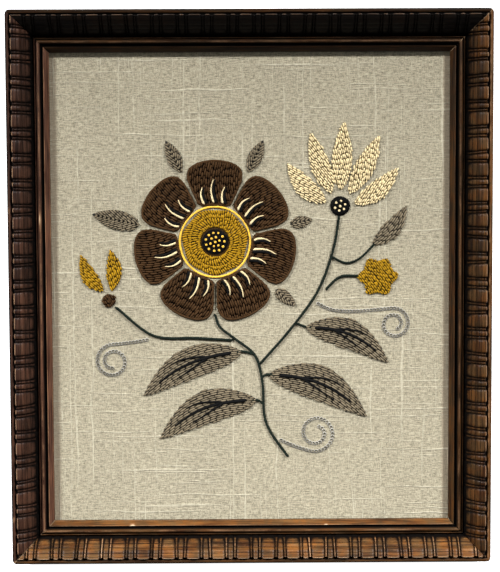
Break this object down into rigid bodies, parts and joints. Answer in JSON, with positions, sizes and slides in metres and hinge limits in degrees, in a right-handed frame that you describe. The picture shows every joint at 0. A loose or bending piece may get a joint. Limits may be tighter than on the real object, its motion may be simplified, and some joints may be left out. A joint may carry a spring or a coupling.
{
  "type": "framed crewel embroidery on linen with carved wooden frame",
  "caption": "Crewel wool flower spray on stretched slub linen, in a carved, walnut-stained wooden frame with mitred corners, lying face up.",
  "frame": {"origin": "under the middle of the frame, on its flat back", "axes": "+Z out of the picture's face, +Y towards the picture's top, +X to its right"},
  "size_m": [0.3512, 0.4032, 0.0258],
  "materials": {
    "walnut": "walnut stain, semi-gloss varnish, worn edges",
    "linen": "plain-weave slubbed linen, oatmeal",
    "backing_board": "plain hardboard",
    "wool_brown": "crewel wool, stem stitch rows",
    "wool_gold": "crewel wool, long and short stitch",
    "wool_black": "crewel wool, satin stitch",
    "wool_cream": "crewel wool, long and short stitch",
    "wool_taupe": "crewel wool, long and short stitch",
    "wool_green": "crewel wool, stem stitch line",
    "wool_grey": "crewel wool, chain stitch line"
  },
  "bodies": {
    "root": {"rail_bottom": "walnut", "rail_right": "walnut", "rail_top": "walnut", "rail_left": "walnut", "linen": "linen", "backing_board": "backing_board", "flower_petal_1": "wool_brown", "flower_petal_2": "wool_brown", "flower_petal_3": "wool_brown", "flower_petal_4": "wool_brown", "flower_petal_5": "wool_brown", "flower_petal_6": "wool_brown", "flower_petal_7": "wool_brown", "bud_cup": "wool_brown", "flower_ring": "wool_gold", "gold_flower": "wool_gold", "bud_petal_left": "wool_gold", "bud_petal_right": "wool_gold", "flower_heart": "wool_black", "cream_flower_cup": "wool_black", "cream_petal_1": "wool_cream", "cream_petal_2": "wool_cream", "cream_petal_3": "wool_cream", "cream_petal_4": "wool_cream", "cream_petal_5": "wool_cream", "flower_sepal_1": "wool_taupe", "flower_sepal_2": "wool_taupe", "flower_sepal_3": "wool_taupe", "flower_sepal_4": "wool_taupe", "flower_sepal_5": "wool_taupe", "leaf_low_right": "wool_taupe", "leaf_low_left": "wool_taupe", "leaf_mid_left": "wool_taupe", "leaf_mid_right": "wool_taupe", "leaf_high_right": "wool_taupe", "stem_main": "wool_green", "stem_right": "wool_green", "stem_gold": "wool_green", "stem_bud": "wool_green", "tendril_low": "wool_grey", "tendril_left": "wool_grey", "tendril_right": "wool_grey"}
  },
  "joints": []
}
